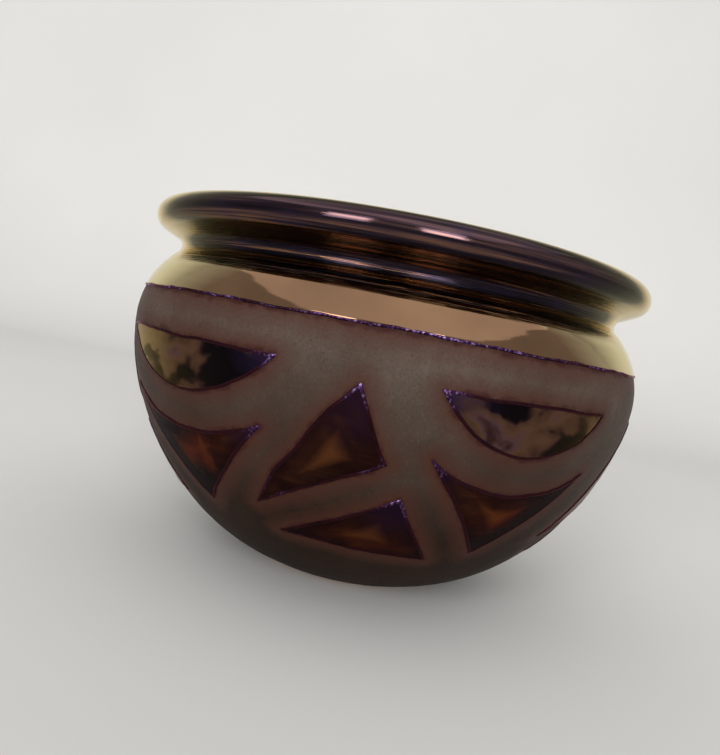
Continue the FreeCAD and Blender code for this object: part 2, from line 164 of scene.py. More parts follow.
def wall_lines(step=LINE_STEP):
    """The clay's outside from the foot to the end of the flared lip, and its inside from there
    to the middle of the floor."""
    belly_end, flank_end = -BELLY_SWEEP, -BELLY_SWEEP - FLANK_SWEEP
    flank_radius, bottom_radius = lower_curves()
    widest = np.array([BELLY_RADIUS, belly_height()])
    shoulder = widest - [SHOULDER_CURVE, 0]
    belly = widest - [BELLY_CURVE, 0]
    flank = polar(belly, BELLY_CURVE - flank_radius, belly_end)
    bottom = polar(flank, flank_radius - bottom_radius, flank_end)
    throat_rise, lip_rise = neck_rises()
    throat = widest + [THROAT_CURVE - THROAT_INSET, throat_rise]
    lip = widest + [LIP_OVERHANG - THROAT_INSET - LIP_ROLL, lip_rise]
    shoulder_end = math.asin(throat_rise / (SHOULDER_CURVE + THROAT_CURVE))
    under = LIP_FLARE - math.pi / 2
    step_out = lip - throat
    inner_throat = THROAT_CURVE + WALL
    heading = math.atan2(step_out[1], step_out[0])
    inner_flare = heading - math.asin((inner_throat - LIP_ROLL) / np.hypot(*step_out))
    over = inner_flare + math.pi / 2
    lip_step = step / 2

    def hollow(centre, radius, first, last, fineness):
        points, normals = arc_points(centre, radius, first, last, fineness)
        return points, -normals

    outside = Line([
        arc_points(bottom, bottom_radius, flank_end - BOTTOM_SWEEP, flank_end, step),
        arc_points(flank, flank_radius, flank_end, belly_end, step),
        arc_points(belly, BELLY_CURVE, belly_end, 0, step),
        arc_points(shoulder, SHOULDER_CURVE, 0, shoulder_end, step),
        hollow(throat, THROAT_CURVE, shoulder_end + math.pi, under + math.pi, lip_step),
        line_points(polar(throat, THROAT_CURVE, under + math.pi), polar(lip, LIP_ROLL, under),
                    polar(np.zeros(2), 1, under), step),
        arc_points(lip, LIP_ROLL, under, over, lip_step),
        line_points(polar(lip, LIP_ROLL, over), polar(throat, inner_throat, over),
                    polar(np.zeros(2), 1, over), step),
    ])
    inner_bottom = bottom_radius - WALL
    floor_angle = -math.asin((bottom[1] - FLOOR_THICKNESS) / inner_bottom)
    floor_edge = polar(bottom, inner_bottom, floor_angle)
    inside = Line([
        arc_points(throat, inner_throat, over, shoulder_end + math.pi, step),
        hollow(shoulder, SHOULDER_CURVE - WALL, shoulder_end, 0, step),
        hollow(belly, BELLY_CURVE - WALL, 0, belly_end, step),
        hollow(flank, flank_radius - WALL, belly_end, flank_end, step),
        hollow(bottom, inner_bottom, flank_end, floor_angle, step),
        line_points(floor_edge, np.array([0, FLOOR_THICKNESS]), np.array([0, 1.0]), step),
    ])
    return outside, inside


OUTSIDE, INSIDE = wall_lines()


# The hand of the potter: everything is a little out of round and carries faint throwing rings.
# Each wave has its size in millimetres, how many of it go round the jar, how far it turns along
# the section in radians per metre, and its phase. The sink, in millimetres too, draws them inwards.

WAVES = [(0.05, 2, 0, 0.7), (0.03, 3, 40, 2.1), (0.014, 7, 130, 0.4), (0.01, 11, -210, 0),
         (0.011, 1, 1250, 0.9), (0.006, 2, 2450, 0)]
WAVES_SINK = 0.11


def unevenness(azimuth, length):
    """How far the surface lies off its drawn line: smooth, and all but wholly inwards."""
    total = -WAVES_SINK
    for size, around, along, phase in WAVES:
        total = total + size * np.sin(around * azimuth + along * length + phase)
    return total * MM


def on_line(line, azimuth, length, level):
    """Points at an azimuth from the viewer's side and a length along the line, raised by level."""
    radius, height, out, up = line.at(length)
    level = level + unevenness(azimuth, length)
    radius = radius + out * level
    return np.stack([radius * np.sin(azimuth), -radius * np.cos(azimuth), height + up * level], -1)


# Meshes

def add_mesh(name, points, faces):
    mesh = bpy.data.meshes.new(name)
    mesh.from_pydata(points.tolist(), [], [tuple(face) for face in faces])
    mesh.polygons.foreach_set("use_smooth", [True] * len(mesh.polygons))
    mesh.update()
    thing = bpy.data.objects.new(name, mesh)
    bpy.context.scene.collection.objects.link(thing)
    return thing


def ring_faces(rows, columns, close_rows):
    """Quads between rows of points that close on themselves."""
    row = np.arange(rows if close_rows else rows - 1)[:, None]
    column = np.arange(columns)[None]
    following, right = (row + 1) % rows, (column + 1) % columns
    corners = [row * columns + column, row * columns + right,
               following * columns + right, following * columns + column]
    return np.stack(np.broadcast_arrays(*corners), -1).reshape(-1, 4)


def turned_piece(name, line, lengths, levels, around):
    """A closed coat turned about the axis: its section's points are lengths along a line and
    levels above it, in a loop."""
    azimuth = np.linspace(0, 2 * math.pi, around, endpoint=False)
    points = np.stack([on_line(line, azimuth, length, level) for length, level in zip(lengths, levels)])
    return add_mesh(name, points.reshape(-1, 3), ring_faces(len(lengths), around, True))


ROUNDING_STEPS = 4
UNDERSIDE_COARSER = 5
UNDERSIDE_LEAST = 6


def coat_loop(start, end, level, step, rounding):
    """Section of a coat: its face with rounded ends, and a coarser underside."""
    count = int((end - start) / step)
    face = np.linspace(start + rounding, end - rounding, count)
    turn = np.linspace(0, math.pi / 2, ROUNDING_STEPS + 1)[:-1]
    rounded = [(rounding * (1 - math.cos(a)), level - rounding * (1 - math.sin(a))) for a in turn]
    rise = [(start + inwards, height) for inwards, height in rounded]
    fall = [(end - inwards, height) for inwards, height in rounded[::-1]]
    under = np.linspace(end, start, max(UNDERSIDE_LEAST, count // UNDERSIDE_COARSER))
    points = rise + [(length, level) for length in face] + fall
    return np.array(points + [(length, level - COAT_DEPTH) for length in under])


# Outlines of the panels, in millimetres across. Each corner's height is a share of the belly's.

BELLY_HEIGHT_MM = belly_height() / MM
HALF_MOON_TOP_SHARE, HALF_MOON_DEPTH = 0.964, 12.5
SWAG_CORNER_SHARE, SWAG_TIP_SHARE, SWAG_SAG = 0.719, 0.35, 6.1
UPPER_BACK_BOW = 1.4
UPPER_CORNERS = [(7, 0.93), (-14.2, 0.42), (15.2, 0.678)]
LOWER_CORNERS = [(-18, 0.316), (7.8, 0.555), (17.1, 0.304)]
OUTLINE_STEP = 0.6
OUTER_MITRE = 1.2

# The painter's hand: length of a waver and how far it strays, in millimetres. Without a seed, the
# noise behind it would start from the clock and differ each run.

SLOW_WAVER = 11, 0.55
QUICK_WAVER = 3.1, 0.13
QUICK_SEED = 40
HAND_SEED = 5
noise.seed_set(HAND_SEED)

# On the outside, heights up to this share of the jar's lie below the neck

UNDER_NECK_SHARE = 0.8


def corner(across, share):
    return np.array([across, share * BELLY_HEIGHT_MM])


def side_points(first, last, bow):
    """Points, headings and shares of the way along a side. A bow bulges to the side's right."""
    chord = last - first
    length = np.linalg.norm(chord)
    along = chord / length
    right = np.array([along[1], -along[0]])
    share = np.linspace(0, 1, int(length / OUTLINE_STEP) + 1)
    if bow == 0:
        heading = np.repeat(along[None], len(share), 0)
        return first + share[:, None] * chord, heading, share
    radius = (length ** 2 / 4 + bow ** 2) / (2 * bow)
    half = math.asin(length / 2 / radius)
    centre = (first + last) / 2 - right * (radius - bow)
    angle = (2 * share - 1)[:, None] * half
    points = centre + radius * (np.cos(angle) * right + np.sin(angle) * along)
    return points, -np.sin(angle) * right + np.cos(angle) * along, share


def offset_loop(corners, bows, inset):
    """The outline moved inwards by inset, its corners mitred. A negative inset moves it out."""
    count = len(corners)
    sides = [side_points(corners[i], corners[(i + 1) % count], bows[i]) for i in range(count)]
    drawn = np.concatenate([points[:-1] for points, _, _ in sides])
    turn = np.sign(np.cross(drawn, np.roll(drawn, -1, 0)).sum())
    sharpness = []
    for i in range(count):
        before, after = sides[i - 1][1][-1], sides[i][1][0]
        interior = math.pi - math.acos(np.clip(before @ after, -1, 1))
        mitre = 1 / math.tan(interior / 2)
        sharpness.append(min(mitre, OUTER_MITRE) if inset < 0 else mitre)
    loop = []
    for i, (points, heading, share) in enumerate(sides):
        inward = turn * np.stack([-heading[:, 1], heading[:, 0]], 1)
        slide = sharpness[i] * (1 - share) - sharpness[(i + 1) % count] * share
        moved = points + inset * (inward + slide[:, None] * heading)
        loop.append(moved[:-1])
    loop = np.concatenate(loop)
    return loop if turn > 0 else loop[::-1]


def hand_drawn(points, seed):
    """The points as the painter's wavering hand sets them."""
    wavers = [(*SLOW_WAVER, seed), (*QUICK_WAVER, seed + QUICK_SEED)]
    moved = []
    for x, z in points:
        across, up = x, z
        for length, stray, layer in wavers:
            push = noise.noise_vector(Vector((x / length, z / length, layer)))
            across, up = across + stray * push.x, up + stray * push.z
        moved.append((across, up))
    return np.array(moved)


def on_belly(points, azimuth, level):
    """Points across and up in millimetres, looked at square from an azimuth, laid on the belly."""
    heights = points[:, 1] * MM
    below = OUTSIDE.points[:, 1] <= CREST_HEIGHT * UNDER_NECK_SHARE
    length = np.interp(heights, OUTSIDE.points[below, 1], OUTSIDE.length[below])
    radius = OUTSIDE.at(length)[0]
    angle = azimuth + np.arcsin(points[:, 0] * MM / radius)
    return on_line(OUTSIDE, angle, length, level)


# Across the rolled edge of a panel: how far inside the outline, and the level there

ROLL_SECTION = [(-0.3, -0.22), (-0.27, -0.06), (-0.19, 0.06), (-0.06, 0.15), (0.1, 0.21), (0.24, 0.22),
                (0.36, 0.2), (0.47, 0.15), (0.54, 0.08), (0.56, -0.1), (0.2, -0.3)]
FACE_START = 0.36
FACE_RINGS = 22
FACE_DEPTH = 0.5 * MM
HALO_START = -0.2
SEED_PER_DEGREE = 0.37


def panel(kind, number, azimuth, corners, bows, centre, violet_corner, face_material, edge_material):
    """A glossy panel: its face, and the roll of glaze that stands up round it. Both know how far
    they are from the corner where the film of the glaze turns violet and the roll carries painted
    glints. Returns the line on the belly where the ground's halo begins."""
    violet_corner = corners[violet_corner]
    seed = azimuth * SEED_PER_DEGREE + len(kind)
    turn = math.radians(azimuth)
    loops = [hand_drawn(offset_loop(corners, bows, inset), seed) for inset, _ in ROLL_SECTION]
    points = [on_belly(loop, turn, level * MM) for loop, (_, level) in zip(loops, ROLL_SECTION)]
    faces = ring_faces(len(loops), len(loops[0]), True)
    edge = add_mesh(f"{kind}_roll_{number}", np.concatenate(points), faces)
    mark(edge, "corner_distance", np.linalg.norm(np.concatenate(loops) - violet_corner, axis=1))
    finish_piece(edge, edge_material)

    base = offset_loop(corners, bows, FACE_START)
    shares = np.linspace(1, 0, FACE_RINGS + 1)[:-1]
    underside = PANEL_LEVEL - FACE_DEPTH
    rows, levels = [base], [underside]
    for share in shares:
        rows.append(centre + share * (base - centre))
        levels.append(PANEL_LEVEL)
    count = len(base)
    points = [on_belly(hand_drawn(row, seed), turn, level) for row, level in zip(rows, levels)]
    middle = on_belly(hand_drawn(centre[None], seed), turn, PANEL_LEVEL)
    under = on_belly(hand_drawn(centre[None], seed), turn, underside)
    faces = [tuple(face) for face in ring_faces(len(rows), count, False)]
    last, top, low = (len(rows) - 1) * count, len(rows) * count, len(rows) * count + 1
    for i in range(count):
        following = (i + 1) % count
        faces.append((last + i, last + following, top))
        faces.append((following, i, low))
    points = np.concatenate(points + [middle, under])
    face = add_mesh(f"{kind}_face_{number}", points, faces)
    flat = np.concatenate(rows + [centre[None], centre[None]])
    mark(face, "corner_distance", np.linalg.norm(flat - violet_corner, axis=1))
    mark(face, "rim_share", np.concatenate([np.repeat(np.append(1, shares), count), [0, 0]]))
    finish_piece(face, face_material)
    word = "_triangle" if kind in ("upper", "lower") else ""
    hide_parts(f"{kind}{word}_panel_{number}")
    return on_belly(hand_drawn(offset_loop(corners, bows, HALO_START), seed), turn, 0)


def mark(thing, name, values):
    """Keeps a value at every vertex for the materials to read."""
    attribute = thing.data.attributes.new(name, "FLOAT", "POINT")
    attribute.data.foreach_set("value", np.asarray(values, np.float32))


def finish_piece(thing, material):
    thing.data.materials.append(material)
    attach(thing, "root")


# Materials

# Range in which nearly all of a noise lies. Then where a colour mix has its share, its two
# colours and its result among its sockets.

NOISE_RANGE = 0.3, 0.7
MIX_SOCKETS = 0, 6, 7
MIX_RESULT = 2


class Finish:
    """A material with one Principled shader, whose nodes read the jar's own coordinates."""

    def __init__(self, name, **sockets):
        self.material = bpy.data.materials.new(name)
        self.material.use_nodes = True
        self.tree = self.material.node_tree
        self.shader = self.tree.nodes["Principled BSDF"]
        self.place = self.add("ShaderNodeTexCoord").outputs["Object"]
        for socket, value in sockets.items():
            self.shader.inputs[socket.replace("_", " ")].default_value = value

    def add(self, kind, **settings):
        node = self.tree.nodes.new(kind)
        for key, value in settings.items():
            setattr(node, key, value)
        return node

    def link(self, source, target):
        self.tree.links.new(source, target)

    def scaled(self, x, y, z):
        node = self.add("ShaderNodeMapping")
        node.inputs["Scale"].default_value = (x, y, z)
        self.link(self.place, node.inputs["Vector"])
        return node.outputs["Vector"]

    def wound(self, across, along):
        """Coordinates for streaks that run round the jar, by the length along its section."""
        split = self.add("ShaderNodeSeparateXYZ")
        self.link(self.place, split.inputs[0])
        joined = self.add("ShaderNodeCombineXYZ")
        for axis in ("X", "Y"):
            self.link(self.maths("MULTIPLY", split.outputs[axis], across), joined.inputs[axis])
        turns = self.maths("MULTIPLY", self.attribute("section_length"), along)
        self.link(turns, joined.inputs["Z"])
        return joined.outputs[0]

    def noise(self, scale, detail=2.0, rough=0.5, place=None, distort=0.0):
        node = self.add("ShaderNodeTexNoise")
        for key, value in (("Scale", scale), ("Detail", detail), ("Roughness", rough),
                           ("Distortion", distort)):
            node.inputs[key].default_value = value
        self.link(place or self.place, node.inputs["Vector"])
        return node.outputs["Fac"]

    def speckle(self, scale, low, high):
        """1 inside grains of a cell pattern and 0 between them."""
        node = self.add("ShaderNodeTexVoronoi")
        node.inputs["Scale"].default_value = scale
        self.link(self.place, node.inputs["Vector"])
        return self.spread(node.outputs["Distance"], low, high, 1, 0)

    def spread(self, value, low, high, to_low=0.0, to_high=1.0):
        """Carries the range from low to high over to another one, and stops at its ends."""
        node = self.add("ShaderNodeMapRange", clamp=True)
        self.link(value, node.inputs["Value"])
        for key, number in (("From Min", low), ("From Max", high), ("To Min", to_low),
                            ("To Max", to_high)):
            node.inputs[key].default_value = number
        return node.outputs["Result"]

    def wandering(self, scale, detail, rough, low, high):
        """A number that wanders between low and high over the surface."""
        return self.spread(self.noise(scale, detail, rough), *NOISE_RANGE, low, high)

    def maths(self, operation, first, second):
        """Joins two values, each of them a number or a socket."""
        node = self.add("ShaderNodeMath", operation=operation)
        for socket, value in zip(node.inputs, (first, second)):
            if isinstance(value, (int, float)):
                socket.default_value = value
            else:
                self.link(value, socket)
        return node.outputs[0]

    def ramp(self, value, *stops):
        """Colours over a value. Each stop is a place and the colour's values on screen."""
        node = self.add("ShaderNodeValToRGB")
        while len(node.color_ramp.elements) < len(stops):
            node.color_ramp.elements.new(0.5)
        for element, (place, *tone) in zip(node.color_ramp.elements, stops):
            element.position = place
            element.color = colour(*tone)
        self.link(value, node.inputs["Fac"])
        return node.outputs["Color"]

    def mix(self, share, first, tone):
        """One colour passing into another, which is a socket or the colour's values on screen."""
        node = self.add("ShaderNodeMix", data_type="RGBA")
        factor, start, end = (node.inputs[i] for i in MIX_SOCKETS)
        self.link(share, factor)
        self.link(first, start)
        if isinstance(tone, tuple):
            end.default_value = colour(*tone)
        else:
            self.link(tone, end)
        return node.outputs[MIX_RESULT]

    def height(self):
        split = self.add("ShaderNodeSeparateXYZ")
        self.link(self.place, split.inputs[0])
        return split.outputs["Z"]

    def aslant(self):
        """0 where the surface faces the eye and 1 where it turns away."""
        return self.add("ShaderNodeLayerWeight").outputs["Facing"]

    def attribute(self, name):
        return self.add("ShaderNodeAttribute", attribute_name=name).outputs["Fac"]

    def bump(self, value, distance, under=None):
        node = self.add("ShaderNodeBump")
        node.inputs["Strength"].default_value = 1.0
        node.inputs["Distance"].default_value = distance
        self.link(value, node.inputs["Height"])
        if under is not None:
            self.link(under, node.inputs["Normal"])
        return node.outputs["Normal"]

    def wear(self, **outputs):
        """Joins worked-out values to the shader's sockets."""
        for socket, value in outputs.items():
            self.link(value, self.shader.inputs[socket.replace("_", " ")])
        return self.material


def colour(red, green, blue):
    """A colour by its values on screen, 0 to 255."""
    channels = [c / 255 for c in (red, green, blue)]
    linear = [c / 12.92 if c <= 0.04045 else ((c + 0.055) / 1.055) ** 2.4 for c in channels]
    return (*linear, 1)


# Heights between which a glaze changes: where the neck turns dark, where its bronze streaks and
# its grooves fade, where the lip turns brown, and where the ground grows lighter as its painted shade
# fades

NECK_DARKENS = 79.5 * MM, 81.5 * MM
BRONZE_FADES = 83.8 * MM, 86.2 * MM
GROOVES_FADE = 88.5 * MM, 91.5 * MM
LIP_BROWNS = 89.5 * MM, 94.5 * MM
GROUND_SHADE_FADES = 26 * MM, 77 * MM

# Depth of each bump

SOFT_RIPPLE = 0.04 * MM
NECK_GROOVES = 0.3 * MM
LUSTRE_GRAIN = 0.004 * MM
POOL_RIPPLE = 0.09 * MM
BRUSH_MARKS = 0.02 * MM
PANEL_GRAIN = 0.006 * MM
ROLL_BEADS = 0.06 * MM
GROUND_RIPPLE = 0.05 * MM
GROUND_GRAIN = 0.03 * MM
LINER_RINGS = 0.06 * MM
CLAY_GRAIN = 0.06 * MM


def lustre():
    """Metal lustre: tan on the shoulder, near black aubergine with bronze streaks on the neck, brown
    on the lip, and pale gold wherever it is seen aslant, which is a painted reflection."""
    finish = Finish("lustre_glaze", Metallic=1.0, Specular_Tint=colour(252, 248, 230))
    height, aslant = finish.height(), finish.aslant()
    neck = finish.spread(height, *NECK_DARKENS)
    tan = finish.ramp(finish.noise(38, 3, 0.55), (0.3, 114, 87, 67), (0.5, 124, 96, 74),
                      (0.7, 134, 106, 82))
    # Pale gold where the shoulder is seen aslant: a painted reflection.
    tan = finish.mix(finish.spread(aslant, 0.42, 0.75), tan, (216, 202, 156))
    streaks = finish.noise(1, 4, 0.65, finish.wound(11, 900))
    dark = finish.ramp(streaks, (0.32, 22, 20, 26), (0.48, 38, 31, 40), (0.56, 58, 43, 50),
                       (0.63, 106, 72, 46), (0.67, 50, 41, 45), (0.76, 42, 50, 38))
    bronze = finish.spread(height, *BRONZE_FADES, 0.7, 0.14)
    bronze = finish.maths("MULTIPLY", bronze, finish.spread(streaks, 0.5, 0.57))
    dark = finish.mix(bronze, dark, (204, 148, 96))
    brown = finish.ramp(streaks, (0.35, 36, 28, 34), (0.5, 58, 44, 51), (0.65, 94, 74, 82))
    dark = finish.mix(finish.spread(height, *LIP_BROWNS, 0, 0.85), dark, brown)
    dark = finish.mix(finish.spread(aslant, 0.4, 0.64, 0, 0.6), dark, (30, 36, 27))
    # Pale gold where the neck and lip are seen aslant: a painted reflection.
    dark = finish.mix(finish.spread(aslant, 0.71, 0.86), dark, (226, 196, 132))
    tint = finish.mix(neck, tan, dark)
    film = finish.spread(finish.noise(55, 2, 0.5, distort=1.2), 0.5, 0.74, 0, 0.35)
    tint = finish.mix(finish.maths("MULTIPLY", film, neck), tint, (48, 38, 66))
    pores = finish.maths("MULTIPLY", finish.speckle(900, 0.02, 0.1), 0.2)
    rough = finish.maths("ADD", finish.wandering(90, 3, 0.6, 0.05, 0.1), pores)
    ripple = finish.bump(finish.noise(1, 2, 0.5, finish.scaled(60, 60, 240)), SOFT_RIPPLE)
    grooved = finish.maths("MULTIPLY", neck, finish.spread(height, *GROOVES_FADE, 1, 0.22))
    grooves = finish.maths("MULTIPLY", finish.maths("SUBTRACT", streaks, 0.5), grooved)
    normal = finish.bump(grooves, NECK_GROOVES, ripple)
    normal = finish.bump(finish.noise(1400, 2, 0.6), LUSTRE_GRAIN, normal)
    return finish.wear(Base_Color=tint, Roughness=rough, Normal=normal)


def half_moon_glaze():
    """The lustre where it pools in the upper panels, with a violet corner. Its dark patches, and the
    pale gold where it is seen aslant, are painted reflections.
    """
    finish = Finish("half_moon_glaze", Metallic=1.0, Specular_Tint=colour(236, 224, 200))
    broad = finish.noise(1, 3, 0.45, finish.scaled(66, 66, 105), 0.35)
    # The darkest stops of this ramp are painted reflections of dark surroundings.
    tint = finish.ramp(broad, (0.43, 18, 14, 17), (0.46, 46, 31, 30), (0.49, 76, 52, 42),
                       (0.56, 92, 66, 50), (0.62, 88, 62, 64), (0.67, 58, 38, 36))
    # Pale gold where the panel is seen aslant: a painted reflection.
    pale = finish.spread(finish.aslant(), 0.5, 0.8, 0, 0.8)
    pale = finish.maths("MULTIPLY", pale, finish.spread(broad, 0.45, 0.5))
    tint = finish.mix(pale, tint, (168, 146, 104))
    film = finish.maths("ADD", finish.attribute("corner_distance"),
                        finish.wandering(130, 2, 0.5, -4, 4))
    tint = finish.mix(finish.spread(film, 2, 12, 0.85, 0), tint, (40, 29, 56))
    rough = finish.wandering(120, 3, 0.6, 0.06, 0.13)
    ripple = finish.bump(finish.noise(1, 2, 0.5, finish.scaled(110, 110, 150)), POOL_RIPPLE)
    normal = finish.bump(finish.noise(1500, 2, 0.6), LUSTRE_GRAIN, ripple)
    return finish.wear(Base_Color=tint, Roughness=rough, Normal=normal)


def panel_glaze():
    """Deep red-brown lustre of the lower panels, streaked by the brush, with a warm glow painted in
    the middle of each face as a reflection.
    """
    finish = Finish("panel_glaze", Metallic=0.8, IOR=1.4, Specular_Tint=colour(150, 110, 92))
    broad = finish.noise(60, 4, 0.6, distort=0.6)
    tint = finish.ramp(broad, (0.32, 30, 14, 12), (0.5, 48, 25, 19), (0.62, 66, 36, 24),
                       (0.72, 98, 57, 32))
    streaks = finish.noise(1, 3, 0.6, finish.scaled(40, 40, 500))
    tint = finish.mix(finish.spread(streaks, 0.5, 0.75, 0, 0.16), tint, (112, 66, 38))
    rim = finish.attribute("rim_share")
    # A warm glow towards the middle of each face: a painted reflection.
    tint = finish.mix(finish.spread(rim, 0.1, 0.45, 0.55, 0), tint, (114, 68, 38))
    tint = finish.mix(finish.spread(rim, 0.6, 1.0, 0, 0.7), tint, (26, 11, 15))
    film = finish.maths("ADD", finish.attribute("corner_distance"),
                        finish.wandering(130, 2, 0.5, -3, 3))
    tint = finish.mix(finish.spread(film, 2, 13, 0.7, 0), tint, (34, 20, 42))
    rough = finish.wandering(150, 3, 0.6, 0.14, 0.26)
    normal = finish.bump(streaks, BRUSH_MARKS)
    normal = finish.bump(finish.noise(1600, 2, 0.6), PANEL_GRAIN, normal)
    return finish.wear(Base_Color=tint, Roughness=rough, Normal=normal)


def roll_glaze(name, violet_low, violet_high):
    """The rolled edge: maroon to near black, turning violet where the glaze is thick, with pale violet
    beads there that are painted glints.
    """
    finish = Finish(name, Metallic=0.8, Specular_Tint=colour(200, 150, 160))
    along = finish.noise(95, 3, 0.6, distort=1.0)
    base = finish.ramp(along, (0.3, 24, 10, 14), (0.5, 46, 18, 24), (0.7, 34, 15, 25))
    patches = finish.spread(finish.noise(75, 2, 0.5), violet_low, violet_high)
    near = finish.spread(finish.attribute("corner_distance"), 0.5, 6, 0.8, 0)
    share = finish.maths("MINIMUM", finish.maths("ADD", patches, near), 1)
    beads = finish.noise(1400, 2, 0.5)
    # The palest stop on the beads is painted glints.
    violet = finish.ramp(beads, (0.4, 40, 20, 48), (0.53, 70, 43, 90), (0.65, 146, 120, 174))
    tint = finish.mix(finish.maths("MULTIPLY", share, 0.9), base, violet)
    rough = finish.wandering(500, 2, 0.6, 0.14, 0.3)
    return finish.wear(Base_Color=tint, Roughness=rough, Normal=finish.bump(beads, ROLL_BEADS))


def matte_glaze():
    """Dry brown-grey ground with fine speckle, redder along every edge of gloss, and much darker
    towards the foot with painted shade.
    """
    finish = Finish("matte_glaze", IOR=1.2, Specular_IOR_Level=0.2)
    cloud = finish.noise(45, 4, 0.6)
    upper = finish.ramp(cloud, (0.3, 80, 67, 58), (0.5, 93, 80, 72), (0.7, 105, 93, 85))
    # The lower ramp is painted shade: the ground darkens towards the foot.
    lower = finish.ramp(cloud, (0.3, 26, 16, 11), (0.5, 34, 22, 15), (0.7, 42, 29, 21))
    tint = finish.mix(finish.spread(finish.height(), *GROUND_SHADE_FADES), lower, upper)
    grain = finish.noise(1700, 3, 0.7)
    tint = finish.mix(finish.spread(grain, 0.35, 0.72, 0, 0.4), tint, (56, 43, 36))
    dust = finish.maths("MULTIPLY", finish.speckle(900, 0.1, 0.17), 0.1)
    tint = finish.mix(dust, tint, (142, 130, 116))
    pepper = finish.maths("MULTIPLY", finish.speckle(470, 0.08, 0.16), 0.3)
    tint = finish.mix(pepper, tint, (38, 27, 23))
    edge = finish.maths("ADD", finish.attribute("edge_distance"),
                        finish.wandering(260, 3, 0.6, -0.6, 0.6))
    halo = finish.spread(edge, 0.8, 5.5, 1, 0)
    tint = finish.mix(finish.maths("MULTIPLY", halo, 0.7), tint, (72, 41, 32))
    rim = finish.spread(edge, 0.1, 0.9, 1, 0)
    tint = finish.mix(finish.maths("MULTIPLY", rim, 0.75), tint, (52, 22, 22))
    rough = finish.spread(grain, *NOISE_RANGE, 0.46, 0.62)
    rough = finish.maths("SUBTRACT", rough, finish.maths("MULTIPLY", halo, 0.08))
    normal = finish.bump(finish.noise(150, 3, 0.6), GROUND_RIPPLE)
    normal = finish.bump(grain, GROUND_GRAIN, normal)
    return finish.wear(Base_Color=tint, Roughness=rough, Normal=normal)


def liner_finish():
    """Dark bronze gloss inside, with the throwing spiral showing through."""
    finish = Finish("liner_glaze", Metallic=0.55, IOR=1.55)
    cloud = finish.noise(40, 4, 0.6)
    tint = finish.ramp(cloud, (0.3, 48, 33, 30), (0.5, 76, 54, 43), (0.7, 102, 78, 57))
    film = finish.spread(finish.noise(52, 2, 0.5), 0.54, 0.7, 0, 0.4)
    tint = finish.mix(film, tint, (74, 48, 92))
    rough = finish.wandering(200, 3, 0.6, 0.16, 0.32)
    normal = finish.bump(finish.noise(1, 2, 0.5, finish.scaled(50, 50, 420)), LINER_RINGS)
    return finish.wear(Base_Color=tint, Roughness=rough, Normal=normal)


def bare_clay():
    """Unglazed buff clay with grog and the marks of the trimming tool."""
    finish = Finish("fired_clay", IOR=1.4)
    cloud = finish.noise(70, 4, 0.6)
    tint = finish.ramp(cloud, (0.3, 132, 96, 70), (0.5, 152, 114, 84), (0.7, 166, 130, 98))
    grog = finish.maths("MULTIPLY", finish.speckle(700, 0.12, 0.2), 0.5)
    tint = finish.mix(grog, tint, (190, 164, 132))
    iron = finish.maths("MULTIPLY", finish.speckle(380, 0.07, 0.12), 0.7)
    tint = finish.mix(iron, tint, (70, 44, 32))
    rough = finish.wandering(900, 3, 0.6, 0.72, 0.9)
    normal = finish.bump(finish.noise(1100, 3, 0.7), CLAY_GRAIN)
    return finish.wear(Base_Color=tint, Roughness=rough, Normal=normal)


# Pieces

# Points round the outer coats, and round the liner and the wall. At the axis the turned pieces
# stop short by a hair, so that no faces meet in one point.

FINE, COARSE = 640, 480
AXIS_GAP = 0.02 * MM

# How deep the wall lies under the coats: it sinks over the first stretch of the section

UNDER_COATS = 0.45 * MM
UNDER_LINER = 0.4 * MM
UNDER_FLOOR_GLAZE = 0.5 * MM
SINK_START, SINK_END = 2 * MM, 6 * MM

# Rows of the wall's mesh: close together near the foot, then wider, and how many there are

FOOT_ROWS = (0, 8 * MM, 14)
WALL_ROWS_START, WALL_ROWS = 10 * MM, 70
INNER_ROWS = 60
RECESS_ROWS = (2 * MM, 27 * MM, 60)

# The foot's hollow: depth and radius, then depth of its grooves, their turns and their reach

HOLLOW_DEPTH, HOLLOW_RADIUS = 0.7 * MM, 23 * MM
GROOVE_DEPTH, GROOVE_TURNS, GROOVE_REACH = 0.06 * MM, 3.3, 23.5 * MM


def clay_wall(material):
    """The thrown wall. Under the coats it lies a little lower, and its foot stays bare."""
    azimuth = np.linspace(0, 2 * math.pi, COARSE, endpoint=False)
    flank = np.linspace(WALL_ROWS_START, OUTSIDE.length[-1], WALL_ROWS)
    lengths = np.concatenate([np.linspace(*FOOT_ROWS), flank])
    sink = np.interp(lengths, [SINK_START, SINK_END], [0, -UNDER_COATS])
    inner = np.linspace(0, INSIDE.length[-1] - AXIS_GAP, INNER_ROWS)
    rows = [on_line(OUTSIDE, azimuth, length, level) for length, level in zip(lengths, sink)]
    rows += [on_line(INSIDE, azimuth, length, -UNDER_LINER) for length in inner]
    rows.append(ring(AXIS_GAP, FLOOR_THICKNESS - UNDER_FLOOR_GLAZE, azimuth))
    for radius in [AXIS_GAP, *np.linspace(*RECESS_ROWS)]:
        rows.append(ring(radius, foot_recess(radius), azimuth))
    points = np.concatenate(rows)
    points[:, 2] = np.maximum(points[:, 2], 0)
    wall = add_mesh("clay_wall", points, ring_faces(len(rows), COARSE, True))
    finish_piece(wall, material)
    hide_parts("jar_body")


def ring(radius, height, azimuth):
    around = np.stack([np.sin(azimuth), -np.cos(azimuth)], -1) * radius
    return np.concatenate([around, np.full((len(azimuth), 1), height)], 1)


def foot_recess(radius):
    """The underside, turned a little hollow, with fine grooves from the trimming tool."""
    hollow = HOLLOW_DEPTH * max(0, 1 - (radius / HOLLOW_RADIUS) ** 2)
    if radius >= GROOVE_REACH:
        return hollow
    return hollow + GROOVE_DEPTH * (1 + math.sin(radius / MM * GROOVE_TURNS))


# Spacing of the points along the face of each coat, and the rounding at its ends

